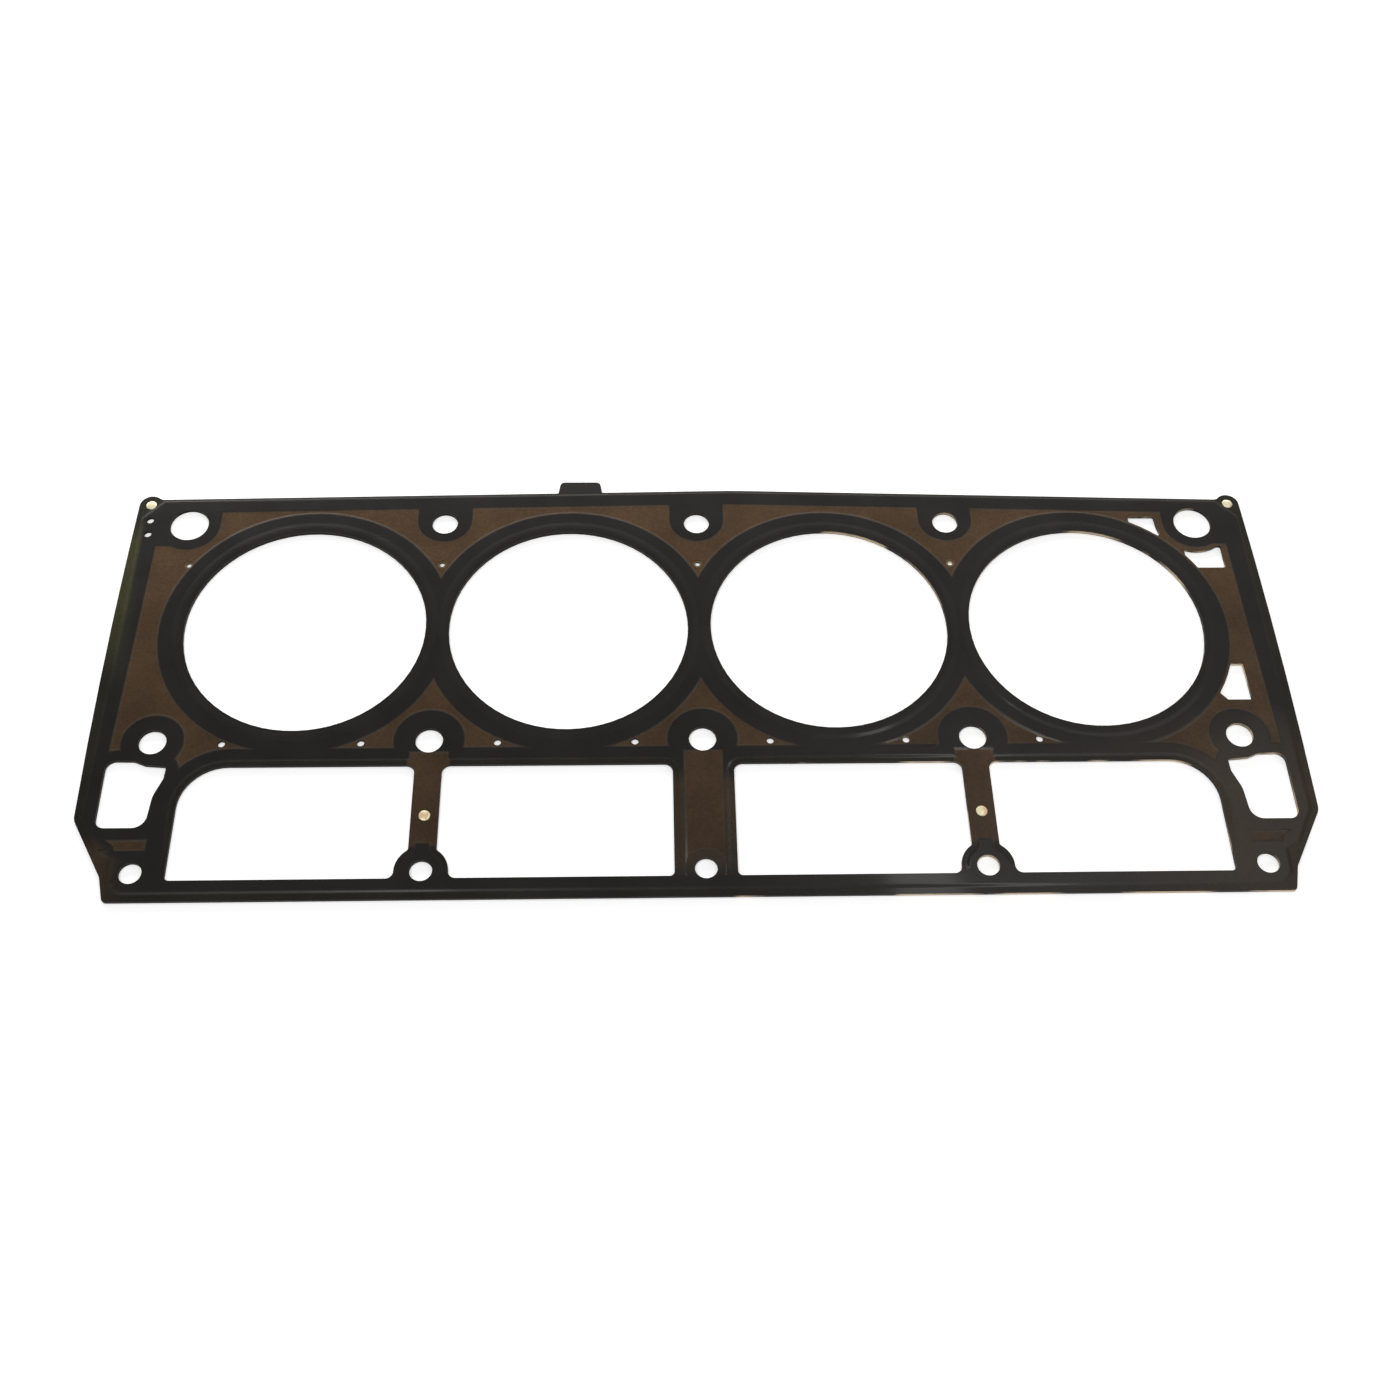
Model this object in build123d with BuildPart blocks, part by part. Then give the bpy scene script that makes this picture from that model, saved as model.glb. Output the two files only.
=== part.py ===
from build123d import *
import os

os.makedirs("parts", exist_ok=True)

# A multi-layer steel head gasket for one bank of four cylinders of a V8 engine.
# Two embossed active layers of spring steel lie either side of a flat spacer layer, and
# four rivets hold the stack together. Millimetres, +X along the row of cylinders, +Y to the
# edge with the tab, +Z out of the upper layer. The origin is on the row's middle line,
# between the second and third bores, in the middle plane of the spacer layer.

# Sheets, in the free state
sheet_thickness = 0.25
spacer_thickness = 0.8
land_rise = 0.15
bead_rise = 0.2

# Cylinder bores and the full bead around each
bore_pitch = 111.76
bore_radius = 51.0
bore_land_radius = 60.9
bead_radius = 54.0
bead_half_width = 1.5
bead_crest_half_width = 0.5

# Head bolts, on a square grid half a pitch above and below the row, and the dowels
bolt_y = 55.88
head_bolt_hole_radius = 5.65
end_bolt_x = 2 * bore_pitch
dowel_hole_radius = 8.4
dowel_x = 224.1
dowel_y = 55.4
upper_bolt_land_y = 57.9
upper_bolt_land_radius = 11.4
dowel_land_radius = 13.0
inner_arch_radius = 13.8
end_bolt_land_radius = 12.0

# Small bolts along the lower rail
small_bolt_y = -114.7
small_bolt_x = 111.4
small_bolt_end_x = 223.3
small_bolt_hole_radius = 4.5
small_bolt_land_radius = 7.5
boss_radius = 10.6

# Rim: curved ends, a shallow crown along the upper edge, corner ears and cut lower corners
foot = (232.2, -126.8)
knee = (234.8, -116.2)
shoulder = (248.9, -91.2)
side_middle = (249.4, -15)
ear_center = (242.4, 66.3)
ear_radius = 5.2
upper_edge_left_y = 69.5
upper_edge_right_y = 68.8
crown = (16, 74.4)
foot_fillet = 1.8
knee_fillet = 4
shoulder_fillet = 7
crown_fillet = 400
ear_fillet = 3

# Tab of the spacer layer, for handling and identification
tab_center_x = -52.0
tab_base_width = 20.4
tab_top_width = 17.6
tab_base_y = 71.0
tab_top_y = 79.5
tab_fillet = 2

# Pushrod openings: two each side of the wide middle web, parted by a narrow web
opening_low_y = -118.0
opening_high_y = -67.4
inner_opening_x = (12.45, 105.85)
outer_opening_x = (116.9, 210.0)
opening_high_fillet = 3.5
opening_low_fillet = 2.0
opening_shoulder_radius = 18.5
boss_fillet = 3.0
web_fillet = 1.5

# Coolant openings at the lower ends, with a slanting inner side
coolant_points = [
    (240.6, -64.4),
    (229.6, -64.6),
    (224.8, -66.6),
    (216.2, -67.3),
    (216.5, -72.8),
    (219.7, -80.8),
    (220.9, -95.0),
    (240.5, -95.0),
]
coolant_radii = [4.0, 3.0, 3.0, 1.2, 4.0, 12.0, 5.5, 4.0]

# Slots beside the last bore, each following the bore's land and the dowel's land
slot_bore_gap_radius = 62.5
slot_dowel_gap_radius = 16.3
bell_points = [(217, -20.6), (232.0, -20.6), (232.5, -38.5), (222.2, -38.5), (217, -32.3)]
window_corner = (234.7, 30.5)
window_size = (17, 12)
triangle_points = [(195.2, 59.1), (206.9, 59.1), (208.6, 46.5), (195.2, 46.5)]
slot_fillet = 0.8

# Steam holes near the bores, those between the bores metered by a smaller hole in the spacer,
# and two marker holes below the left ear
steam_hole_radius = 1.5
steam_low_y = -56.9
steam_offset = 28.1
steam_high_y = 33.4
steam_high_radius = 2.0
steam_metering_radius = 1.1
steam_end_x = 221.3
marker_hole_x = -241.65
marker_hole_ys = (50.4, 58.0)
marker_hole_radius = 1.7

# Rivets: a shank with a low chamfered head on each face
ear_rivet_x = 242.4
ear_rivet_y = 66.5
web_rivet_x = 111.5
web_rivet_y = -90.5
rivet_hole_radius = 1.45
rivet_shank_radius = 1.4
rivet_head_radius = 2.35
rivet_head_height = 0.3
rivet_head_chamfer = 0.2

# Raised lands: their outer border leaves a flat strip along the rim and round the ears
land_top_left = (-236.2, 67.6)
land_top_right = (236.2, 66.9)
land_crown = (16, 72.4)
land_side_points = [
    (244.4, 58.8),
    (244.6, -90.1),
    (237.0, -104.8),
    (231.0, -107.8),
    (230.8, -118.5),
    (227.0, -122.4),
]
land_side_radii = [2.0, 6.0, 3.0, 3.0, 4.0, 4.0]
land_top_radius = 2.0

# Flat fields between the lands, where an active layer lies on the spacer
field_crown = (16, 67.2)
field_top_left = (-dowel_x, 62.7)
field_top_right = (dowel_x, 62.0)
field_side_points = [
    (dowel_x, 44.3),
    (237.9, 44.3),
    (239.0, 0),
    (240.9, -60),
    (240.9, -72),
]
pushrod_land_y = -60.0
pushrod_land_corner_radius = 25.9
pushrod_land_half_length = 217.4
pushrod_land_depth = 30
coolant_land_width = 4.3
web_field_half_width = 8.6
web_field_high_y = -60.6
web_field_low_y = -103.5
middle_web_field_low_y = -118.6
corner_field_points = [
    (237.0, -99.6),
    (218.4, -99.6),
    (218.4, -105.7),
    (231.6, -105.7),
    (232.0, -103.3),
]

spacer_top_z = spacer_thickness / 2
field_top_z = spacer_top_z + sheet_thickness
land_top_z = field_top_z + land_rise
bore_xs = [bore_pitch * (i - 1.5) for i in range(4)]
inner_bolt_xs = [-bore_pitch, 0, bore_pitch]
small_bolt_xs = [-small_bolt_end_x, -small_bolt_x, 0, small_bolt_x, small_bolt_end_x]
web_fields = [
    (-small_bolt_x, web_field_low_y),
    (0, middle_web_field_low_y),
    (small_bolt_x, web_field_low_y),
]
rivet_places = {
    "ear_rivet_left": (-ear_rivet_x, ear_rivet_y),
    "ear_rivet_right": (ear_rivet_x, ear_rivet_y),
    "web_rivet_left": (-web_rivet_x, web_rivet_y),
    "web_rivet_right": (web_rivet_x, web_rivet_y),
}


def corner_near(sketch, x, y):
    return sketch.vertices().sort_by_distance((x, y))[0]


def rim_sketch():
    """The rim shared by the three sheets."""
    with BuildSketch() as rim:
        with BuildLine():
            Polyline(
                (-shoulder[0], shoulder[1]),
                (-knee[0], knee[1]),
                (-foot[0], foot[1]),
                foot,
                knee,
                shoulder,
            )
            ThreePointArc(shoulder, side_middle, (ear_center[0] + ear_radius, ear_center[1]))
            Polyline(
                (ear_center[0] + ear_radius, ear_center[1]),
                (ear_center[0], upper_edge_right_y),
                crown,
                (-ear_center[0], upper_edge_left_y),
                (-ear_center[0] - ear_radius, ear_center[1]),
            )
            ThreePointArc(
                (-ear_center[0] - ear_radius, ear_center[1]),
                (-side_middle[0], side_middle[1]),
                (-shoulder[0], shoulder[1]),
            )
        make_face()
        with Locations(ear_center, (-ear_center[0], ear_center[1])):
            Circle(ear_radius)
        for side in (-1, 1):
            fillet(corner_near(rim, side * foot[0], foot[1]), foot_fillet)
            fillet(corner_near(rim, side * knee[0], knee[1]), knee_fillet)
            fillet(corner_near(rim, side * shoulder[0], shoulder[1]), shoulder_fillet)
            fillet(corner_near(rim, side * (ear_center[0] - 4), upper_edge_left_y), ear_fillet)
        fillet(corner_near(rim, *crown), crown_fillet)
    return rim.sketch


def pushrod_opening(near_x, far_x, boss_on_far_side):
    """One opening on the right of the middle web, with the small bolt's boss taken out of a corner."""
    boss_x = far_x if boss_on_far_side else near_x
    plain_x = near_x if boss_on_far_side else far_x
    plain_high_radius = opening_high_fillet if boss_on_far_side else opening_shoulder_radius
    with BuildSketch() as opening:
        with Locations(((near_x + far_x) / 2, (opening_low_y + opening_high_y) / 2)):
            Rectangle(far_x - near_x, opening_high_y - opening_low_y)
        fillet(corner_near(opening, plain_x, opening_low_y), opening_low_fillet)
        fillet(corner_near(opening, plain_x, opening_high_y), plain_high_radius)
        fillet(corner_near(opening, boss_x, opening_high_y), opening_high_fillet)
        with Locations((small_bolt_x, small_bolt_y)):
            Circle(boss_radius, mode=Mode.SUBTRACT)
        towards_middle = -1 if boss_on_far_side else 1
        boss_edge_x = small_bolt_x + towards_middle * boss_radius
        fillet(corner_near(opening, boss_edge_x, opening_low_y), boss_fillet)
        fillet(corner_near(opening, boss_x, small_bolt_y + boss_radius), web_fillet)
    return opening.sketch


def coolant_opening():
    with BuildSketch() as opening:
        with BuildLine():
            FilletPolyline(*coolant_points, radius=coolant_radii, close=True)
        make_face()
    return opening.sketch


def end_slots():
    """The bell, the window and the triangle beside the right-hand bore."""
    with BuildSketch() as slots:
        for points in (bell_points, triangle_points):
            with BuildLine():
                Polyline(*points, close=True)
            make_face()
        with Locations(window_corner):
            Rectangle(*window_size, align=(Align.MAX, Align.MIN))
        with Locations((bore_xs[-1], 0)):
            Circle(slot_bore_gap_radius, mode=Mode.SUBTRACT)
        with Locations((end_bolt_x, bolt_y)):
            Circle(slot_dowel_gap_radius, mode=Mode.SUBTRACT)
        fillet(slots.vertices(), slot_fillet)
    return slots.sketch


def hole_sketch(steam_between_bores_radius):
    """Every hole that goes through a sheet, apart from the rivets'."""
    with BuildSketch() as holes:
        for side in (0, 1):
            with BuildSketch(mode=Mode.PRIVATE) as right_half:
                add(pushrod_opening(*inner_opening_x, boss_on_far_side=True))
                add(pushrod_opening(*outer_opening_x, boss_on_far_side=False))
                add(coolant_opening())
            add(right_half.sketch.mirror(Plane.YZ) if side else right_half.sketch)
        add(end_slots())
        with Locations([(x, 0) for x in bore_xs]):
            Circle(bore_radius)
        with Locations([(x, side * bolt_y) for x in inner_bolt_xs for side in (-1, 1)]):
            Circle(head_bolt_hole_radius)
        with Locations((-end_bolt_x, -bolt_y), (end_bolt_x, -bolt_y)):
            Circle(head_bolt_hole_radius)
        with Locations((-dowel_x, dowel_y), (dowel_x, dowel_y)):
            Circle(dowel_hole_radius)
        with Locations([(x, small_bolt_y) for x in small_bolt_xs]):
            Circle(small_bolt_hole_radius)
        low_xs = [x + side * steam_offset for x in bore_xs for side in (-1, 1)][:-1]
        with Locations([(x, steam_low_y) for x in low_xs]):
            Circle(steam_hole_radius)
        with Locations([(x, steam_high_y) for x in (-steam_end_x, *inner_bolt_xs)]):
            Circle(steam_between_bores_radius)
        with Locations([(marker_hole_x, y) for y in marker_hole_ys]):
            Circle(marker_hole_radius)
    return holes.sketch


def grown_polygon(points, grow):
    with BuildSketch() as polygon:
        with BuildLine():
            Polyline(*points, close=True)
        make_face()
        offset(amount=grow, kind=Kind.INTERSECTION)
    return polygon.sketch


def pushrod_land(shrink):
    """The land above the pushrod openings, round at its ends."""
    with BuildSketch() as land:
        with Locations((0, pushrod_land_y - shrink)):
            Rectangle(
                2 * (pushrod_land_half_length - shrink),
                pushrod_land_depth,
                align=(Align.CENTER, Align.MAX),
            )
        high_corners = land.vertices().group_by(Axis.Y)[-1]
        fillet(high_corners, pushrod_land_corner_radius - shrink)
    return land.sketch


def coolant_land(shrink):
    """The land round a coolant opening, as wide on every side."""
    with BuildSketch() as land:
        add(coolant_opening())
        offset(amount=coolant_land_width - shrink)
    return land.sketch


def field_sketch(grow):
    """The flat fields between the lands, each edge moved outwards by grow."""
    right_points = [field_top_right, *field_side_points]
    left_points = [(-x, y) for x, y in reversed(field_side_points)]
    with BuildSketch() as field:
        add(grown_polygon([field_crown, *right_points, *left_points, field_top_left], grow))
        add(pushrod_land(grow), mode=Mode.SUBTRACT)
        with Locations([(x, 0) for x in bore_xs]):
            Circle(bore_land_radius - grow, mode=Mode.SUBTRACT)
        for x in inner_bolt_xs:
            with Locations((x, upper_bolt_land_y)):
                Circle(upper_bolt_land_radius - grow, mode=Mode.SUBTRACT)
                Rectangle(
                    2 * (upper_bolt_land_radius - grow),
                    2 * upper_bolt_land_radius,
                    align=(Align.CENTER, Align.MIN),
                    mode=Mode.SUBTRACT,
                )
            with Locations((x, -bolt_y)):
                Circle(inner_arch_radius - grow, mode=Mode.SUBTRACT)
        for side in (-1, 1):
            with Locations((side * end_bolt_x, -bolt_y)):
                Circle(end_bolt_land_radius - grow, mode=Mode.SUBTRACT)
            with Locations((side * dowel_x, dowel_y)):
                Circle(dowel_land_radius - grow, mode=Mode.SUBTRACT)
                Rectangle(
                    2 * (dowel_land_radius - grow),
                    2 * dowel_land_radius,
                    align=(Align.CENTER, Align.MIN),
                    mode=Mode.SUBTRACT,
                )
        right_coolant_land = coolant_land(grow)
        add(right_coolant_land, mode=Mode.SUBTRACT)
        add(right_coolant_land.mirror(Plane.YZ), mode=Mode.SUBTRACT)
        for web_x, web_low_y in web_fields:
            with Locations((web_x, web_field_high_y + grow)):
                Rectangle(
                    2 * (web_field_half_width + grow),
                    web_field_high_y - web_low_y + 2 * grow,
                    align=(Align.CENTER, Align.MAX),
                )
        with Locations((0, small_bolt_y)):
            Circle(small_bolt_land_radius - grow, mode=Mode.SUBTRACT)
        right_corner_field = grown_polygon(corner_field_points, grow)
        add(right_corner_field)
        add(right_corner_field.mirror(Plane.YZ))
    return field.sketch


def land_sketch(shrink):
    """The raised lands, each edge moved inwards by shrink."""
    right_points = [land_top_right, *land_side_points]
    left_points = [(-x, y) for x, y in reversed(land_side_points)]
    radii = [land_top_radius, *land_side_radii]
    with BuildSketch() as land:
        with BuildLine():
            FilletPolyline(
                land_crown,
                *right_points,
                *left_points,
                land_top_left,
                radius=[crown_fillet, *radii, *reversed(radii)],
                close=True,
            )
        make_face()
        offset(amount=-shrink)
        add(field_sketch(shrink), mode=Mode.SUBTRACT)
    return land.sketch


def bore_beads(base_z):
    """A ring round each bore, standing on base_z and reaching down into the sheet below it."""
    section = [
        (bead_radius - bead_half_width, base_z - sheet_thickness / 2),
        (bead_radius - bead_half_width, base_z),
        (bead_radius - bead_crest_half_width, base_z + bead_rise),
        (bead_radius + bead_crest_half_width, base_z + bead_rise),
        (bead_radius + bead_half_width, base_z),
        (bead_radius + bead_half_width, base_z - sheet_thickness / 2),
    ]
    with BuildPart() as beads:
        for bore_x in bore_xs:
            with BuildSketch(Plane((bore_x, 0, 0), x_dir=(1, 0, 0), z_dir=(0, -1, 0))):
                with BuildLine():
                    Polyline(*section, close=True)
                make_face()
            revolve(axis=Axis((bore_x, 0, 0), (0, 0, 1)))
    return beads.part


rim = rim_sketch()
ridges = bore_beads(land_top_z)
grooves = bore_beads(land_top_z - sheet_thickness)

with BuildPart() as upper_active_layer:
    with BuildSketch(Plane.XY.offset(spacer_top_z)):
        add(rim)
    extrude(amount=sheet_thickness)
    with BuildSketch(Plane.XY.offset(spacer_top_z)):
        add(land_sketch(0))
    extrude(amount=sheet_thickness + land_rise)
    with BuildSketch(Plane.XY.offset(spacer_top_z)):
        add(land_sketch(sheet_thickness))
    extrude(amount=land_rise, mode=Mode.SUBTRACT)
    add(ridges)
    add(grooves, mode=Mode.SUBTRACT)
    with BuildSketch(Plane.XY.offset(spacer_top_z)):
        add(hole_sketch(steam_high_radius))
        with Locations(list(rivet_places.values())):
            Circle(rivet_hole_radius)
    extrude(amount=sheet_thickness + land_rise + bead_rise, mode=Mode.SUBTRACT)
upper_active_layer.part.label = "upper_active_layer"
export_step(upper_active_layer.part, "parts/upper_active_layer.step")

with BuildPart() as lower_active_layer:
    mirror(upper_active_layer.part, about=Plane.XY)
lower_active_layer.part.label = "lower_active_layer"
export_step(lower_active_layer.part, "parts/lower_active_layer.step")

with BuildPart() as spacer_layer:
    with BuildSketch(Plane.XY.offset(-spacer_top_z)) as spacer_face:
        add(rim)
        with BuildLine():
            Polyline(
                (tab_center_x - tab_base_width / 2, tab_base_y),
                (tab_center_x + tab_base_width / 2, tab_base_y),
                (tab_center_x + tab_top_width / 2, tab_top_y),
                (tab_center_x - tab_top_width / 2, tab_top_y),
                close=True,
            )
        make_face()
        for side in (-1, 1):
            fillet(corner_near(spacer_face, tab_center_x + side * tab_top_width / 2, tab_top_y), tab_fillet)
        add(hole_sketch(steam_metering_radius), mode=Mode.SUBTRACT)
        with Locations(list(rivet_places.values())):
            Circle(rivet_hole_radius, mode=Mode.SUBTRACT)
    extrude(amount=spacer_thickness)
spacer_layer.part.label = "spacer_layer"
export_step(spacer_layer.part, "parts/spacer_layer.step")

for rivet_name, (rivet_x, rivet_y) in rivet_places.items():
    with BuildPart(Plane((rivet_x, rivet_y, 0))) as rivet:
        Cylinder(rivet_shank_radius, 2 * field_top_z)
        with Locations((0, 0, field_top_z)):
            Cylinder(rivet_head_radius, rivet_head_height, align=(Align.CENTER, Align.CENTER, Align.MIN))
        with Locations((0, 0, -field_top_z)):
            Cylinder(rivet_head_radius, rivet_head_height, align=(Align.CENTER, Align.CENTER, Align.MAX))
        head_rims = rivet.edges().filter_by(GeomType.CIRCLE).group_by(Axis.Z)
        chamfer([*head_rims[0], *head_rims[-1]], rivet_head_chamfer)
    rivet.part.label = rivet_name
    export_step(rivet.part, f"parts/{rivet_name}.step")
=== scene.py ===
import bmesh
import bpy
import math
import numpy as np
from mathutils import Matrix, Vector
from mathutils.bvhtree import BVHTree
from mathutils.geometry import delaunay_2d_cdt


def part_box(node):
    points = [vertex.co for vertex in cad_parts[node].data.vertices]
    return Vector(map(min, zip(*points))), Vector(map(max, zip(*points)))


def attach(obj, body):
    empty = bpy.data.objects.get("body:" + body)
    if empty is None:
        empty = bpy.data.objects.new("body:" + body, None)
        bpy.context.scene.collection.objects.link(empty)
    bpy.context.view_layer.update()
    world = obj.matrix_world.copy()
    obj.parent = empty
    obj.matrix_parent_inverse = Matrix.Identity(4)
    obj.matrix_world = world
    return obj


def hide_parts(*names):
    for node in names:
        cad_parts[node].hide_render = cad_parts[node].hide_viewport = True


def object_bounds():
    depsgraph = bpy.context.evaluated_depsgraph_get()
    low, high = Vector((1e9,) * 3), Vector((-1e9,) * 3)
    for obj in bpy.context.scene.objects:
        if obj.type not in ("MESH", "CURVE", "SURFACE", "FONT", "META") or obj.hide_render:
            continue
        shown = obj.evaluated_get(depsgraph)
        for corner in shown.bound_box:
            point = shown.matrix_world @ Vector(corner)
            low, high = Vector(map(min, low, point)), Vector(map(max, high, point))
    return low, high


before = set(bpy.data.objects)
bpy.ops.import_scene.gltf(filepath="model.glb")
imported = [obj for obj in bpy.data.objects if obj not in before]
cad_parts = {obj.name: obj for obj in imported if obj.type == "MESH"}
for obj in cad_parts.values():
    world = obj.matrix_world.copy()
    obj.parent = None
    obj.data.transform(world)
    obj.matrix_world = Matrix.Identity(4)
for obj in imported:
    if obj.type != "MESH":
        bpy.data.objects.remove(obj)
cad_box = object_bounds()

# ---------------------------------------------------------------------------
# Upper active layer
# A sheet of 0.25 mm spring steel with a thin rubber coating on both faces. It is
# blanked to its outline, then pressed: the fields and a strip along the rim lie on the
# spacer, the lands stand up between them, and a bead runs round each bore.

# Sizes are in millimetres, and mm is one of them in the scene's metres
mm = 0.001
sheet_thickness = 0.25
spacer_top = 0.4
land_rise = 0.15
field_height = spacer_top + sheet_thickness
land_height = field_height + land_rise
slope_width = 1.9
slope_steps = 7

# Flat strips along the pushrod openings, which are told by their length and place
opening_strip_width = 1.6
opening_strip_low_y = -116.5
opening_strip_fade = 3.0
pushrod_opening_shortest = 80
pushrod_opening_longest = 100
pushrod_opening_top_y = -60

# The bead round each bore
bore_pitch = 111.76
bore_places = [bore_pitch * (i - 1.5) for i in range(4)]
bore_bead_radius = 54.0
bore_bead_half_width = 2.7
bore_bead_rise = 0.12
bead_crest_share = 0.1
bead_steps = 7
ring_points = 144

# How the solid's faces and edges are told apart. The probes are steps to one side of an edge.
weld_distance = 1e-4
plan_digits = 3
flat_normal_z = 0.99
wall_normal_z = 0.5
level_tolerance = 0.01
field_tolerance = 0.002
edge_probe = 0.02
line_probe = 0.05
ray_height = 5

# A line that is moved sideways is mitred at its corners, and no further than these limits
# allow. An open one runs on past the sheet's cut edge.
mitre_least_length = 0.3
mitre_least_cosine = 0.35
border_overrun = 3


def smooth(t):
    """Rises gently from 0 to 1 as t does."""
    t = np.clip(t, 0, 1)
    return t * t * (3 - 2 * t)


def smooth_slope(t):
    """How fast smooth rises at t."""
    return 6 * t * (1 - t)


def is_over(solid_tree, x, y):
    """True where the point, seen from above, has the solid under it."""
    return solid_tree.ray_cast(Vector((x, y, ray_height)), Vector((0, 0, -1)))[0] is not None


def sheet_edges(node):
    """The plan of a pressed sheet, in millimetres, read from its solid as seen from above.

    Gives its cut edges, the edges where a land steps down to a field, and two search
    trees: one of the triangles of the fields, and one of the whole solid.
    """
    solid = bmesh.new()
    solid.from_mesh(node.data)
    bmesh.ops.scale(solid, vec=(1 / mm, 1 / mm, 1 / mm), verts=solid.verts)
    bmesh.ops.remove_doubles(solid, verts=solid.verts, dist=weld_distance)
    whole = BVHTree.FromBMesh(solid)
    cut, step = [], []
    for edge in solid.edges:
        above = [f for f in edge.link_faces if f.normal.z > wall_normal_z]
        walls = [f for f in edge.link_faces if abs(f.normal.z) < wall_normal_z]
        if len(above) != 1 or len(walls) != 1:
            continue
        start, end = (v.co for v in edge.verts)
        middle = (start + end) / 2
        outwards = Vector((end.y - start.y, start.x - end.x, 0)).normalized()
        if (above[0].calc_center_median() - middle).dot(outwards) > 0:
            outwards = -outwards
        beside = middle + outwards * edge_probe
        if not is_over(whole, beside.x, beside.y):
            cut.append([start[:2], end[:2]])
        elif middle.z > land_height - level_tolerance:
            step.append([start[:2], end[:2]])
    flat = [f for f in solid.faces if f.normal.z > flat_normal_z]
    fields = [f for f in flat if abs(f.calc_center_median().z - field_height) < level_tolerance]
    corners = [tuple(v.co) for f in fields for v in f.verts]
    triangles = [(i, i + 1, i + 2) for i in range(0, len(corners), 3)]
    solid.free()
    return np.array(cut), np.array(step), BVHTree.FromPolygons(corners, triangles), whole


cut_edges, step_edges, field_tree, sheet_tree = sheet_edges(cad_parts["upper_active_layer"])


def in_field(x, y):
    return field_tree.find_nearest(Vector((x, y, field_height)))[3] < field_tolerance


def has_metal(x, y):
    return is_over(sheet_tree, x, y)


def joined_lines(segments, on_left):
    """Joins segments end to end, each line with the side that on_left tells of on its left."""
    follows = {}
    for (ax, ay), (bx, by) in segments:
        length = math.hypot(bx - ax, by - ay)
        left_x = (ax + bx) / 2 - (by - ay) / length * line_probe
        left_y = (ay + by) / 2 + (bx - ax) / length * line_probe
        a = (round(ax, plan_digits), round(ay, plan_digits))
        b = (round(bx, plan_digits), round(by, plan_digits))
        if on_left(left_x, left_y):
            follows[a] = b
        else:
            follows[b] = a
    lines = []
    reached = set(follows.values())
    starts = [point for point in follows if point not in reached]
    while follows:
        line = [starts.pop() if starts else next(iter(follows))]
        while line[-1] in follows:
            line.append(follows.pop(line[-1]))
        lines.append(np.array(line))
    return lines


def offset_line(line, distance):
    """The line moved to its left. An open line runs on past the sheet's cut edge."""
    closed = np.allclose(line[0], line[-1])
    run = np.diff(line, axis=0)
    run /= np.linalg.norm(run, axis=1)[:, None]
    first, last = (run[-1:], run[:1]) if closed else (run[:1], run[-1:])
    before, after = np.vstack([first, run]), np.vstack([run, last])
    middle = before + after
    middle /= np.maximum(np.linalg.norm(middle, axis=1), mitre_least_length)[:, None]
    stretch = 1 / np.maximum((middle * before).sum(1), mitre_least_cosine)
    moved = line + distance * stretch[:, None] * np.stack([-middle[:, 1], middle[:, 0]], 1)
    if not closed:
        before_start = moved[0] - border_overrun * run[0]
        past_end = moved[-1] + border_overrun * run[-1]
        moved = np.vstack([before_start, moved, past_end])
    return moved


def is_pushrod_opening(line):
    length = np.ptp(line[:, 0])
    fits = pushrod_opening_shortest < length < pushrod_opening_longest
    return fits and line[:, 1].max() < pushrod_opening_top_y


def strip_line(opening):
    """The part of a pushrod opening's edge that has a strip along it: all but its lower side."""
    ring = opening[:-1]
    high = ring[:, 1] > opening_strip_low_y
    start = np.flatnonzero(high & ~np.roll(high, 1))[0]
    return np.roll(ring, -start, axis=0)[:high.sum()]


borders = joined_lines(step_edges, in_field)
rim_border = max(borders, key=lambda line: np.ptp(line[:, 0]))
outlines = joined_lines(cut_edges, has_metal)
strip_lines = [strip_line(line) for line in outlines if is_pushrod_opening(line)]


def beyond_rim_border(points):
    """True for each point in the flat strip along the rim, by counting border crossings."""
    start, end = rim_border[:-1], rim_border[1:]
    x, y = points[:, :1], points[:, 1:]
    crosses = (start[:, 1] > y) != (end[:, 1] > y)
    climb = np.where(start[:, 1] == end[:, 1], 1, end[:, 1] - start[:, 1])
    at_x = start[:, 0] + (y - start[:, 1]) / climb * (end[:, 0] - start[:, 0])
    return (crosses & (x < at_x)).sum(1) % 2 == 0


def bead_radii():
    """The radii of the rings that draw both sides of a bore's bead."""
    crest = bead_crest_share * bore_bead_half_width
    from_middle = np.linspace(crest, bore_bead_half_width, bead_steps)
    return [*(bore_bead_radius - from_middle[::-1]), *(bore_bead_radius + from_middle)]


def plan_lines():
    """Every line that the sheet's mesh follows."""
    lines = [np.array(edge) for edge in cut_edges]
    for line in borders:
        lines.append(line)
        for step in range(1, slope_steps + 1):
            lines.append(offset_line(line, slope_width * step / slope_steps))
    for line in strip_lines:
        for step in range(slope_steps + 1):
            lines.append(offset_line(line, opening_strip_width + slope_width * step / slope_steps))
    angles = np.linspace(0, 2 * math.pi, ring_points + 1)
    for x in bore_places:
        for radius in bead_radii():
            lines.append(np.stack([x + radius * np.cos(angles), radius * np.sin(angles)], 1))
    return lines


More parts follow.
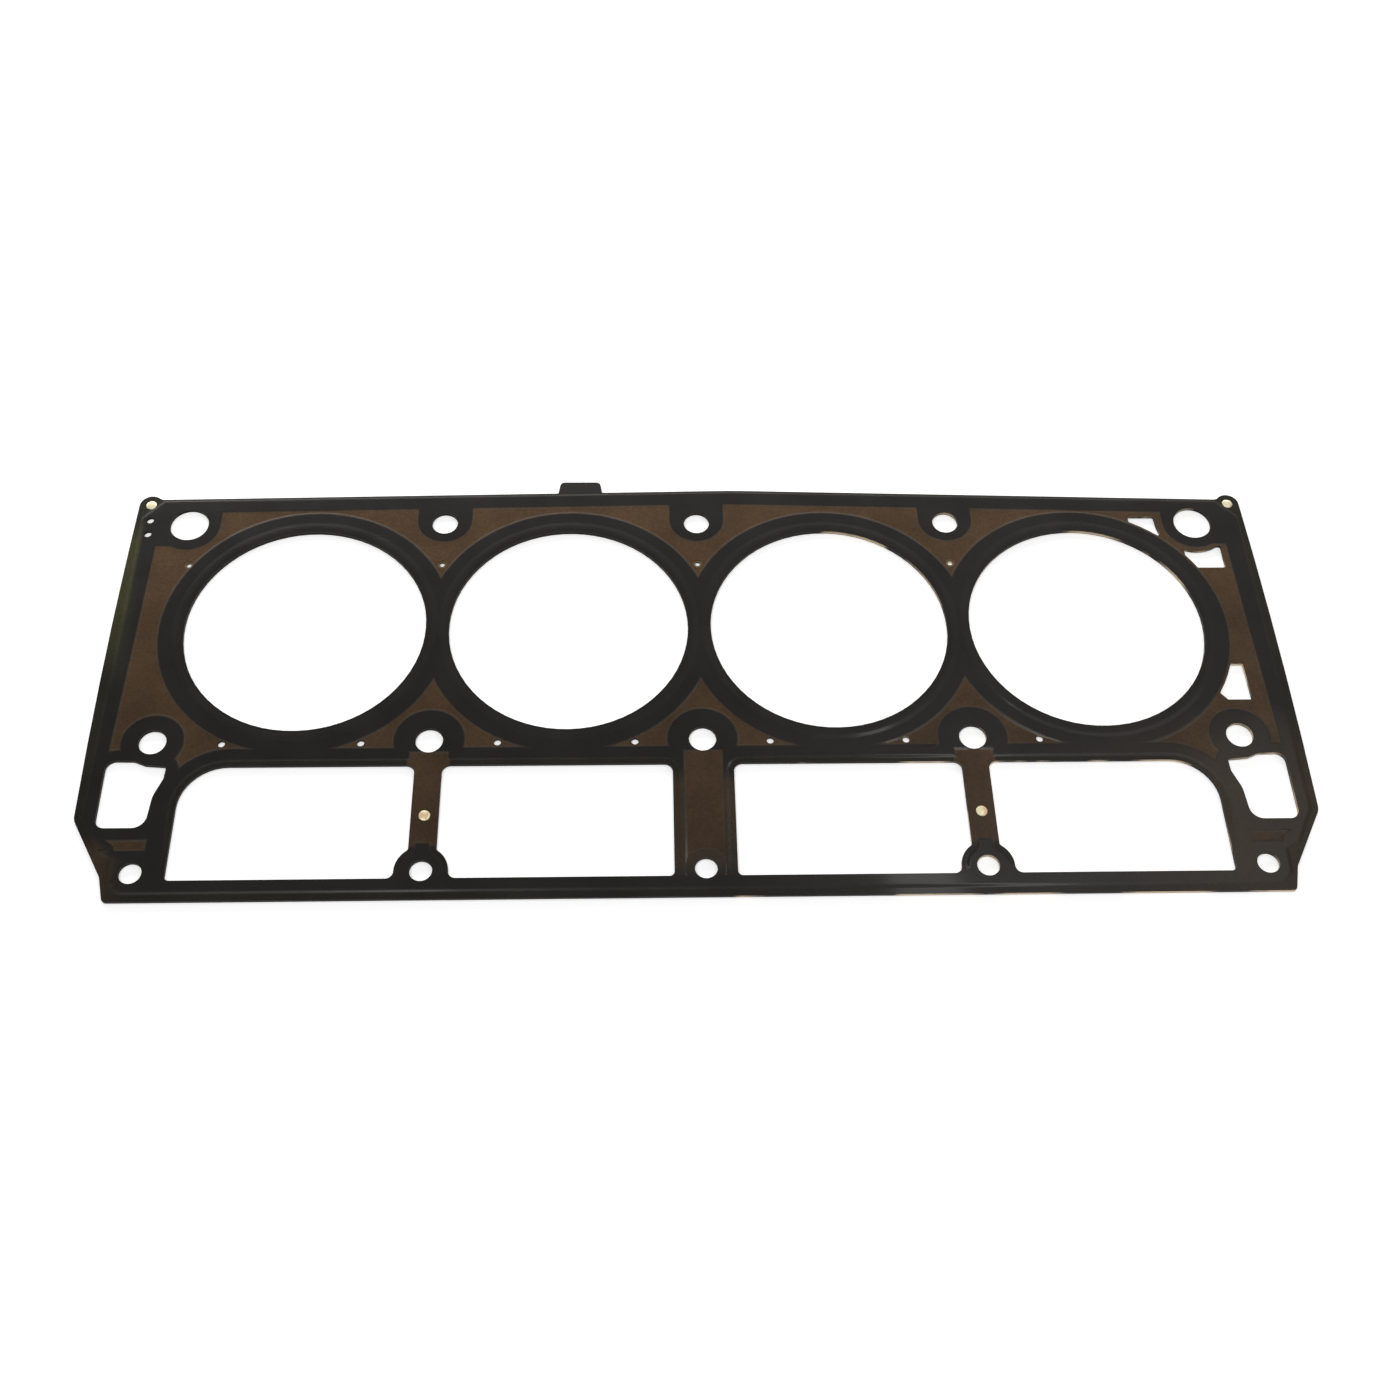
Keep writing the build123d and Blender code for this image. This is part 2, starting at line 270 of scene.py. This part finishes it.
def plan_mesh(lines):
    """Triangles between the lines, where the sheet has metal: points, faces."""
    index, points, edges = {}, [], []
    for line in lines:
        keys = [(round(float(x), plan_digits), round(float(y), plan_digits)) for x, y in line]
        for key in keys:
            if key not in index:
                index[key] = len(points)
                points.append(Vector(key))
        edges += [(index[a], index[b]) for a, b in zip(keys, keys[1:]) if a != b]
    points, _, faces, *_ = delaunay_2d_cdt(points, edges, [], 0, weld_distance)
    kept = []
    for face in faces:
        a, b, c = (points[i] for i in face)
        if (b - a).cross(c - a) < 0:
            face = face[::-1]
        middle = (a + b + c) / 3
        if has_metal(middle.x, middle.y):
            kept.append(face)
    kept = np.array(kept)
    used, renumbered = np.unique(kept, return_inverse=True)
    return np.array([points[i][:] for i in used]), renumbered.reshape(kept.shape)


# A distance too short to give a direction
least_distance = 1e-6


def nearest(points, segments):
    """Each point's distance from the nearest segment, and the way from that segment to it."""
    distance = np.full(len(points), np.inf)
    away = np.zeros((len(points), 2))
    for start, end in segments:
        run = end - start
        along = np.clip((points - start) @ run / (run @ run), 0, 1)
        offset = points - start - along[:, None] * run
        length = np.hypot(offset[:, 0], offset[:, 1])
        nearer = length < distance
        distance[nearer] = length[nearer]
        away[nearer] = offset[nearer]
    return distance, away / np.maximum(distance, least_distance)[:, None]


def add_bore_bead(points, height, slope, bore_x):
    """Raises the sheet along the bead round the bore at bore_x."""
    from_center = points - (bore_x, 0)
    radius = np.hypot(from_center[:, 0], from_center[:, 1])
    across = radius - bore_bead_radius
    width = bore_bead_half_width * (1 - bead_crest_share)
    t = np.clip((bore_bead_half_width - np.abs(across)) / width, 0, 1)
    height += bore_bead_rise * smooth(t)
    steepness = bore_bead_rise * smooth_slope(t) / width * -np.sign(across)
    slope += (steepness / radius)[:, None] * from_center


def sheet_height(points):
    """Height of the sheet's upper face at each point, its slope along x and y, and its strips."""
    low = np.array([in_field(x, y) for x, y in points])
    distance, away = nearest(points, step_edges)
    t = np.clip(distance / slope_width, 0, 1) * low
    height = land_height - land_rise * smooth(t)
    slope = (-land_rise * smooth_slope(t) / slope_width)[:, None] * away
    strip_edges = np.concatenate([np.stack([line[:-1], line[1:]], 1) for line in strip_lines])
    distance, away = nearest(points, strip_edges)
    t = np.clip((distance - opening_strip_width) / slope_width, 0, 1)
    drop = land_rise * smooth((points[:, 1] - opening_strip_low_y) / opening_strip_fade)
    strip_height = land_height - drop * (1 - smooth(t))
    lower = strip_height < height
    height[lower] = strip_height[lower]
    slope[lower] = ((drop * smooth_slope(t) / slope_width)[:, None] * away)[lower]
    strips = beyond_rim_border(points) | (~low & (t < 1))
    for bore_x in bore_places:
        add_bore_bead(points, height, slope, bore_x)
    return height, slope, strips


def placed(name, data):
    """A new object of this name in the scene."""
    made = bpy.data.objects.new(name, data)
    bpy.context.scene.collection.objects.link(made)
    return made


def pressed_sheet(name, points, faces, height, slope, strips, side):
    """The sheet as one closed mesh. side is 1 for the upper layer and -1 for the lower.

    Its faces are shaded from the slopes, and its cut walls are flat.
    """
    count = len(points)
    outer = np.column_stack([points, side * height])
    inner = np.column_stack([points, side * (height - sheet_thickness)])
    sides = np.vstack([faces[:, [0, 1]], faces[:, [1, 2]], faces[:, [2, 0]]])
    forwards = sides[:, 0] * count + sides[:, 1]
    backwards = sides[:, 1] * count + sides[:, 0]
    start, end = sides[~np.isin(forwards, backwards)].T
    walls = np.column_stack([start, start + count, end + count, end])
    all_faces = [*faces.tolist(), *(faces[:, ::-1] + count).tolist(), *walls.tolist()]
    if side < 0:
        all_faces = [face[::-1] for face in all_faces]
    mesh = bpy.data.meshes.new(name)
    mesh.from_pydata((np.vstack([outer, inner]) * mm).tolist(), [], all_faces)
    mesh.polygons.foreach_set("material_index", [0] * (2 * len(faces)) + [1] * len(walls))
    mesh.polygons.foreach_set("use_smooth", [True] * len(all_faces))
    up = np.column_stack([-slope, np.ones(count)]) * (1, 1, side)
    up /= np.linalg.norm(up, axis=1)[:, None]
    corner_face = np.repeat(np.arange(len(all_faces)), [len(face) for face in all_faces])
    corner_point = np.empty(len(mesh.loops), int)
    mesh.loops.foreach_get("vertex_index", corner_point)
    normals = np.vstack([up, -up])[corner_point]
    flat_normals = np.empty(len(all_faces) * 3)
    mesh.polygons.foreach_get("normal", flat_normals)
    on_wall = corner_face >= 2 * len(faces)
    normals[on_wall] = flat_normals.reshape(-1, 3)[corner_face[on_wall]]
    mesh.normals_split_custom_set(normals.tolist())
    strip = mesh.attributes.new("strip", "FLOAT", "POINT")
    strip.data.foreach_set("value", np.tile(strips, 2).astype(np.float32))
    return placed(name, mesh)


# Colours of the coating, and of the steel at the sheet's cut edges
coat_brown = (0.060, 0.0335, 0.0150, 1)
# A painted highlight: the lighter brown part way up each slope from a field
coat_slope_highlight = (0.060, 0.040, 0.024, 1)
coat_strip = (0.015, 0.013, 0.008, 1)
# A painted highlight: the lighter tone part way up each slope from a strip
coat_strip_slope_highlight = (0.020, 0.016, 0.010, 1)
coat_black = (0.0075, 0.006, 0.0045, 1)
# Painted sheen: the brownish tone that the black lands are lightened to towards the lower right
coat_right_sheen = (0.018, 0.012, 0.0075, 1)
# The brown of the middle web and of the strip in the lower left corner, also used as a painted sheen
# at the lower right end
coat_web = (0.040, 0.0255, 0.0125, 1)
# A painted reflection: the olive on the strip along the upper half of the left rim
coat_rim_reflection = (0.0325, 0.0325, 0.0115, 1)
coat_bead = (0.010, 0.008, 0.006, 1)
# Bare steel at the cut edges, painted bright as a glint
cut_steel_glint = (0.78, 0.64, 0.46, 1)
# The dark of the cut edges between the glints
cut_dark = (0.012, 0.010, 0.008, 1)

# Heights in millimetres: the ends of the coating's colour scale, where the painted highlight up a
# slope is brightest, and where it changes from brown to black up a slope
coat_low = field_height - 0.05
coat_high = land_height + bore_bead_rise + 0.05
# Where the painted highlight on a slope is brightest
highlight_height = field_height + 0.07
black_height = field_height + 0.14
bead_foot_height = land_height + 0.02

# Where a tone of the coating fades in, from none to full, in millimetres along x or y. The
# upper edge is towards y, and the right end towards x.
# The painted sheen towards the lower right fades in over these
right_half_x = (0, 200)
right_end_x = (165, 210)
right_end_share = 0.8
lower_part_y = (-40, -80)
middle_web_x = (17, 13)
middle_web_top_y = (-69, -77)
middle_web_foot_y = (-119, -112)
left_end_x = (-222, -236)
left_corner_y = (-95, -105)
left_rim_y = (-35, 10)
left_ear_y = (60, 48)
# Painted light and shade: the coating is lighter towards the upper edge and darker towards the lower
light_gradient_y = (-100, 60)
light_gradient_share = (0.72, 1.28)

# The coating's finish
cloud_scale = 45.0
cloud_tones = [(0.3, (0.8, 0.8, 0.8, 1)), (0.7, (1.15, 1.13, 1.1, 1))]
grain_scale = 900.0
grain_tones = [(0.35, (0.86, 0.86, 0.86, 1)), (0.65, (1.12, 1.12, 1.12, 1))]
grain_strength = 0.12
grain_depth = 0.05
coat_roughness = (0.24, 0.34)
coat_shine = (0.22, 0.34)
gloss_weight = 0.25
gloss_roughness = 0.07

# Cut edges are dark, with streaks of bare steel that are also painted bright as glints, and
# more of the streaks towards the right as painted highlights
streak_scale = 30.0
streak_tones = [(0.54, (0, 0, 0, 1)), (0.64, (1, 1, 1, 1))]
glint_x = (-20, 100)
glint_shift = (-0.12, 0.07)
cut_roughness = 0.35


def new_material(name):
    """A new material, its node tree and its shader."""
    material = bpy.data.materials.new(name)
    material.use_nodes = True
    return material, material.node_tree, material.node_tree.nodes["Principled BSDF"]


def place_on_piece(tree):
    """Where a point of the piece lies, in metres."""
    return tree.nodes.new("ShaderNodeTexCoord").outputs["Object"]


def xyz(tree, vector):
    """The three parts of a place or a direction."""
    parts = tree.nodes.new("ShaderNodeSeparateXYZ")
    tree.links.new(vector, parts.inputs[0])
    return parts.outputs


def noise(tree, place, scale, detail):
    texture = tree.nodes.new("ShaderNodeTexNoise")
    texture.inputs["Scale"].default_value = scale
    texture.inputs["Detail"].default_value = detail
    tree.links.new(place, texture.inputs["Vector"])
    return texture.outputs["Fac"]


def ramp(tree, value, stops):
    """A colour ramp. stops are pairs of position and colour."""
    node = tree.nodes.new("ShaderNodeValToRGB")
    elements = node.color_ramp.elements
    for element, (position, color) in zip(elements, (stops[0], stops[-1])):
        element.position = position
        element.color = color
    for position, color in stops[1:-1]:
        elements.new(position).color = color
    tree.links.new(value, node.inputs["Fac"])
    return node.outputs["Color"]


def set_sockets(tree, sockets, values):
    """Gives each socket its value, or joins it to the output that takes its place."""
    for socket, value in zip(sockets, values):
        if isinstance(value, (int, float, tuple)):
            socket.default_value = value
        else:
            tree.links.new(value, socket)


def math_node(tree, operation, *values):
    node = tree.nodes.new("ShaderNodeMath")
    node.operation = operation
    set_sockets(tree, node.inputs, values)
    return node.outputs[0]


def multiplied(tree, product, *others):
    """The product of two or more values."""
    for other in others:
        product = math_node(tree, "MULTIPLY", product, other)
    return product


def map_range(tree, value, from_low, from_high, to_low, to_high):
    node = tree.nodes.new("ShaderNodeMapRange")
    set_sockets(tree, node.inputs, (value, from_low, from_high, to_low, to_high))
    return node.outputs[0]


def fade(tree, place, start, end, least=0, most=1):
    """Goes from least to most between two places, which are given in millimetres."""
    return map_range(tree, place, start * mm, end * mm, least, most)


def mix_color(tree, share, first, second, blend="MIX"):
    node = tree.nodes.new("ShaderNodeMix")
    node.data_type = "RGBA"
    node.blend_type = blend
    colors = [s for s in node.inputs if s.type == "RGBA"]
    set_sockets(tree, [node.inputs[0], *colors], (share, first, second))
    return [s for s in node.outputs if s.type == "RGBA"][0]


def coat_position(height):
    """A height in millimetres as a share of the way from coat_low to coat_high."""
    return (height - coat_low) / (coat_high - coat_low)


def coat_by_height(tree, position, flat, slope_highlight):
    """The coating's colour from a field, up a slope with a painted highlight on it, and over the lands
    and beads.
    """
    return ramp(tree, position, [
        (coat_position(field_height), flat),
        (coat_position(highlight_height), slope_highlight),
        (coat_position(black_height), coat_black),
        (coat_position(bead_foot_height), coat_black),
        (coat_position(land_height + bore_bead_rise), coat_bead),
    ])


def place_tones(tree, x, y, strip):
    """The darkest that the coating may be at each place, before its clouds and grain.

    It is black, and has a painted sheen: browner towards the lower right and brown at the
    lower right end. It is brown on the middle web and on the strip in the lower left corner,
    and olive on the strip along the upper half of the left rim, which is a painted reflection.
    """
    lower_part = fade(tree, y, *lower_part_y)
    # Painted sheen towards the lower right, stronger at the lower right end
    right_half_sheen = multiplied(tree, fade(tree, x, *right_half_x), lower_part)
    right_end_sheen = multiplied(tree, fade(tree, x, *right_end_x, most=right_end_share), lower_part)
    web_sides = fade(tree, math_node(tree, "ABSOLUTE", x), *middle_web_x)
    web_top = fade(tree, y, *middle_web_top_y)
    web_foot = fade(tree, y, *middle_web_foot_y)
    middle_web = multiplied(tree, web_sides, web_top, web_foot)
    left_strip = multiplied(tree, fade(tree, x, *left_end_x), strip)
    left_corner = multiplied(tree, left_strip, fade(tree, y, *left_corner_y))
    # The painted reflection along the upper half of the left rim
    left_rim_reflection = multiplied(tree, left_strip, fade(tree, y, *left_rim_y), fade(tree, y, *left_ear_y))
    # Brown patches: the painted sheen at the lower right end, the middle web and the strip in the
    # lower left corner
    sheen_and_brown_patches = math_node(tree, "MAXIMUM", right_end_sheen, left_corner)
    sheen_and_brown_patches = math_node(tree, "MAXIMUM", middle_web, sheen_and_brown_patches)
    tone = mix_color(tree, right_half_sheen, coat_black, coat_right_sheen)
    tone = mix_color(tree, sheen_and_brown_patches, tone, coat_web)
    return mix_color(tree, left_rim_reflection, tone, coat_rim_reflection)


def coating_material():
    """Rubber coating: brown on the fields, black on the lands, and a lighter painted highlight along
    the pressed slopes.

    The flat strips are darker than the fields. The whole is paler towards the upper edge and
    darker towards the lower as painted light and shade, its tone differs by place, partly as
    painted sheen and reflection, and it has a thin gloss on its surface.
    """
    material, tree, shader = new_material("rubber_coating")
    place = place_on_piece(tree)
    x, y, z = xyz(tree, place)
    position = fade(tree, math_node(tree, "ABSOLUTE", z), coat_low, coat_high)
    attribute = tree.nodes.new("ShaderNodeAttribute")
    attribute.attribute_name = "strip"
    strip = attribute.outputs["Fac"]
    field_coat = coat_by_height(tree, position, coat_brown, coat_slope_highlight)
    strip_coat = coat_by_height(tree, position, coat_strip, coat_strip_slope_highlight)
    color = mix_color(tree, strip, field_coat, strip_coat)
    color = mix_color(tree, 1.0, color, place_tones(tree, x, y, strip), "LIGHTEN")
    cloud = noise(tree, place, cloud_scale, detail=4.0)
    grain = noise(tree, place, grain_scale, detail=2.0)
    # Painted light and shade, lighter towards the upper edge
    painted_light_gradient = fade(tree, y, *light_gradient_y, *light_gradient_share)
    for tone in (ramp(tree, cloud, cloud_tones), painted_light_gradient, ramp(tree, grain, grain_tones)):
        color = mix_color(tree, 1.0, color, tone, "MULTIPLY")
    shine_heights = (coat_position(field_height), coat_position(land_height))
    shine = map_range(tree, position, *shine_heights, *coat_shine)
    bump = tree.nodes.new("ShaderNodeBump")
    bump.inputs["Strength"].default_value = grain_strength
    bump.inputs["Distance"].default_value = grain_depth * mm
    tree.links.new(grain, bump.inputs["Height"])
    tree.links.new(color, shader.inputs["Base Color"])
    tree.links.new(map_range(tree, cloud, 0, 1, *coat_roughness), shader.inputs["Roughness"])
    tree.links.new(shine, shader.inputs["Specular IOR Level"])
    tree.links.new(bump.outputs[0], shader.inputs["Normal"])
    shader.inputs["Coat Weight"].default_value = gloss_weight
    shader.inputs["Coat Roughness"].default_value = gloss_roughness
    return material


def bare_steel_and_glints(tree):
    """How bright a cut edge is: 1 on bare steel painted bright as a glint, and 0 where it is dark."""
    place = place_on_piece(tree)
    # Painted glints: more bright streaks towards the right
    shift = fade(tree, xyz(tree, place)["X"], *glint_x, *glint_shift)
    streak = math_node(tree, "ADD", noise(tree, place, streak_scale, detail=4.0), shift)
    return ramp(tree, streak, streak_tones)


def cut_edge_material():
    material, tree, shader = new_material("cut_edge")
    bare_and_glint = bare_steel_and_glints(tree)
    tree.links.new(mix_color(tree, bare_and_glint, cut_dark, cut_steel_glint), shader.inputs["Base Color"])
    tree.links.new(bare_and_glint, shader.inputs["Metallic"])
    shader.inputs["Roughness"].default_value = cut_roughness
    return material


rubber_coating = coating_material()
cut_edge = cut_edge_material()
sheet_points, sheet_faces = plan_mesh(plan_lines())
heights, slopes, strips = sheet_height(sheet_points)


def finish_sheet(name, node, side):
    sheet = pressed_sheet(name, sheet_points, sheet_faces, heights, slopes, strips, side)
    sheet.data.materials.append(rubber_coating)
    sheet.data.materials.append(cut_edge)
    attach(sheet, "root")
    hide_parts(node)


finish_sheet("upper_sheet", "upper_active_layer", 1)

# ---------------------------------------------------------------------------
# Lower active layer
# The same coated spring steel and the same pressing, turned over, so that its lands and
# beads face the engine block. The rivets hold it to the underside of the spacer.

finish_sheet("lower_sheet", "lower_active_layer", -1)

# ---------------------------------------------------------------------------
# Spacer layer
# The flat middle sheet, blanked from 0.8 mm steel and held between the pressed sheets by
# the rivets. Its tab stands out of the upper edge, and its cut edges show in the openings.
# The solid keeps its own mesh, and gets its material here.

tab_foot_y = (70.5, 71.5)
spacer_cloud_scale = 60.0
spacer_steel_tones = [(0.3, (0.10, 0.065, 0.030, 1)), (0.7, (0.20, 0.14, 0.070, 1))]
tab_black_tones = [(0.3, (0.012, 0.011, 0.010, 1)), (0.7, (0.022, 0.019, 0.016, 1))]
spacer_roughness = 0.4
spacer_shine = 0.2


def spacer_material():
    """Dull steel with streaks of bare steel along its cut edges that are painted glints, and black on
    the tab.
    """
    material, tree, shader = new_material("spacer_steel")
    normal = tree.nodes.new("ShaderNodeNewGeometry").outputs["True Normal"]
    flat = math_node(tree, "ABSOLUTE", xyz(tree, normal)["Z"])
    place = place_on_piece(tree)
    cloud = noise(tree, place, spacer_cloud_scale, detail=4.0)
    steel = ramp(tree, cloud, spacer_steel_tones)
    black = ramp(tree, cloud, tab_black_tones)
    on_tab = fade(tree, xyz(tree, place)["Y"], *tab_foot_y)
    face = mix_color(tree, on_tab, steel, black)
    bare_and_glint = bare_steel_and_glints(tree)
    edge = mix_color(tree, bare_and_glint, cut_dark, cut_steel_glint)
    tree.links.new(mix_color(tree, flat, edge, face), shader.inputs["Base Color"])
    tree.links.new(math_node(tree, "SUBTRACT", bare_and_glint, flat), shader.inputs["Metallic"])
    shader.inputs["Roughness"].default_value = spacer_roughness
    shader.inputs["Specular IOR Level"].default_value = spacer_shine
    return material


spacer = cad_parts["spacer_layer"]
spacer.data.materials.clear()
spacer.data.materials.append(spacer_material())

# ---------------------------------------------------------------------------
# Rivets
# Four small plated steel rivets, two in the ears and two in the narrow webs. The head
# is formed on each face when the stack is closed, so it is a low dome.

rivet_head_radius = 2.35
rivet_head_height = 0.3
rivet_shank_radius = 1.4
dome_steps = 8
rivet_points = 48
plate_cloud_scale = 260.0
plate_tones = [(0.5, (1.0, 0.92, 0.62, 1)), (0.6, (0.84, 0.62, 0.38, 1))]
plate_metallic = 0.3
plate_roughness = 0.3


def rivet_material():
    """Yellowish plating with small tan stains."""
    material, tree, shader = new_material("plated_steel")
    cloud = noise(tree, place_on_piece(tree), plate_cloud_scale, detail=3.0)
    tree.links.new(ramp(tree, cloud, plate_tones), shader.inputs["Base Color"])
    shader.inputs["Metallic"].default_value = plate_metallic
    shader.inputs["Roughness"].default_value = plate_roughness
    return material


def rivet_profile():
    """Radius and height from the top of one head, along the shank, to the top of the other."""
    upper = []
    for share in np.linspace(0, 1, dome_steps):
        upper.append((rivet_head_radius * share, field_height + rivet_head_height * (1 - share ** 2)))
    upper.append((rivet_shank_radius, field_height))
    return upper + [(radius, -height) for radius, height in upper[::-1]]


def rivet_ring(rivet, center, radius, height):
    """The points round the rivet at one height, or the single point on its axis."""
    if radius == 0:
        return [rivet.verts.new((center.x, center.y, height * mm))]
    ring = []
    for i in range(rivet_points):
        angle = 2 * math.pi * i / rivet_points
        x = center.x + radius * mm * math.cos(angle)
        y = center.y + radius * mm * math.sin(angle)
        ring.append(rivet.verts.new((x, y, height * mm)))
    return ring


def turned_rivet(name, center):
    rivet = bmesh.new()
    rings = [rivet_ring(rivet, center, radius, height) for radius, height in rivet_profile()]
    for upper, lower in zip(rings, rings[1:]):
        for i in range(rivet_points):
            j = i + 1
            corners = [upper[i % len(upper)], lower[i % len(lower)]]
            corners += [lower[j % len(lower)], upper[j % len(upper)]]
            rivet.faces.new(list(dict.fromkeys(corners)))
    bmesh.ops.recalc_face_normals(rivet, faces=rivet.faces)
    mesh = bpy.data.meshes.new(name)
    rivet.to_mesh(mesh)
    rivet.free()
    mesh.polygons.foreach_set("use_smooth", [True] * len(mesh.polygons))
    return placed(name, mesh)


plated_steel = rivet_material()
for node in ("ear_rivet_left", "ear_rivet_right", "web_rivet_left", "web_rivet_right"):
    low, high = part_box(node)
    piece = turned_rivet("turned_" + node, (low + high) / 2)
    piece.data.materials.append(plated_steel)
    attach(piece, "root")
    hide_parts(node)

# ---------------------------------------------------------------------------
# Floor, lights and camera
# The gasket lies on a white floor in a white surround. Full white is for the camera alone:
# the sheets get a low light from the surround, and the rest from six lamps that face the
# gasket's middle. Sizes and places are in metres, and power is in watts.

floor_size = 6.0
floor_white = (0.9, 0.9, 0.9, 1)
floor_roughness = 0.9
floor_glow_distance = (0.5, 1.5)
floor_glow = (0.4, 1.0)
surround_x = (-0.4, 0.4)
surround_strength = (0.16, 0.34)
white = (1, 1, 1, 1)

floor_height = cad_box[0][2]
reach = floor_size / 2
floor_corners = [(-reach, -reach), (reach, -reach), (reach, reach), (-reach, reach)]
floor_mesh = bpy.data.meshes.new("floor")
floor_mesh.from_pydata([(x, y, floor_height) for x, y in floor_corners], [], [(0, 1, 2, 3)])
floor = placed("floor", floor_mesh)


def floor_material():
    """White, and brighter to the camera away from the gasket, so that its far edge is lost."""
    material, tree, shader = new_material("floor_white")
    shader.inputs["Base Color"].default_value = floor_white
    shader.inputs["Roughness"].default_value = floor_roughness
    shader.inputs["Specular IOR Level"].default_value = 0.0
    shader.inputs["Emission Color"].default_value = white
    distance = tree.nodes.new("ShaderNodeVectorMath")
    distance.operation = "LENGTH"
    tree.links.new(place_on_piece(tree), distance.inputs[0])
    glow = map_range(tree, distance.outputs["Value"], *floor_glow_distance, *floor_glow)
    to_camera = tree.nodes.new("ShaderNodeLightPath").outputs["Is Camera Ray"]
    tree.links.new(multiplied(tree, to_camera, glow), shader.inputs["Emission Strength"])
    return material


floor_mesh.materials.append(floor_material())

surround = bpy.data.worlds.new("studio")
surround.use_nodes = True
bpy.context.scene.world = surround
tree = surround.node_tree
direction = tree.nodes.new("ShaderNodeTexCoord").outputs["Generated"]
strength = map_range(tree, xyz(tree, direction)["X"], *surround_x, *surround_strength)
to_camera = tree.nodes.new("ShaderNodeLightPath").outputs["Is Camera Ray"]
background = tree.nodes["Background"]
background.inputs["Color"].default_value = white
tree.links.new(math_node(tree, "MAXIMUM", to_camera, strength), background.inputs["Strength"])


def area_lamp(name, place, size, power):
    """A flat lamp that faces the gasket's middle."""
    data = bpy.data.lights.new(name, "AREA")
    data.shape = "RECTANGLE"
    data.size, data.size_y = size
    data.energy = power
    lamp = placed(name, data)
    lamp.location = place
    lamp.rotation_euler = (-Vector(place)).to_track_quat("-Z", "Y").to_euler()
    lamp.visible_camera = False


area_lamp("key_lamp", place=(-0.45, -0.3, 1.5), size=(0.9, 0.9), power=9)
area_lamp("back_lamp", place=(-0.12, 0.55, 0.2), size=(1.2, 0.15), power=4.5)
area_lamp("right_card", place=(0.72, 0.38, 1.35), size=(0.5, 0.5), power=0.4)
area_lamp("overhead_card", place=(0.4, 0.16, 1.12), size=(0.7, 0.07), power=0.6)
area_lamp("back_right_card", place=(0.6, 0.9, 0.4), size=(0.35, 0.2), power=0.5)
area_lamp("front_lamp", place=(0.4, -0.5, 0.15), size=(0.3, 0.1), power=0.6)

# The camera stands in front of the gasket and above it. Its film and lens are in millimetres.
camera_place = (-0.02537, -0.39555, 0.57718)
camera_aim = (-0.00059, -0.03682, 0)
camera_roll = math.radians(3.018)
film_width = 36
focal_length = 41.896
nearest_in_view = 0.01

camera_data = bpy.data.cameras.new("camera")
camera_data.sensor_width = film_width
camera_data.lens = focal_length
camera_data.clip_start = nearest_in_view
camera = placed("camera", camera_data)
looking = (Vector(camera_aim) - Vector(camera_place)).to_track_quat("-Z", "Y").to_matrix().to_4x4()
camera.matrix_world = Matrix.Translation(camera_place) @ looking @ Matrix.Rotation(camera_roll, 4, "Z")
bpy.context.scene.camera = camera
bpy.context.scene.view_settings.view_transform = "Standard"
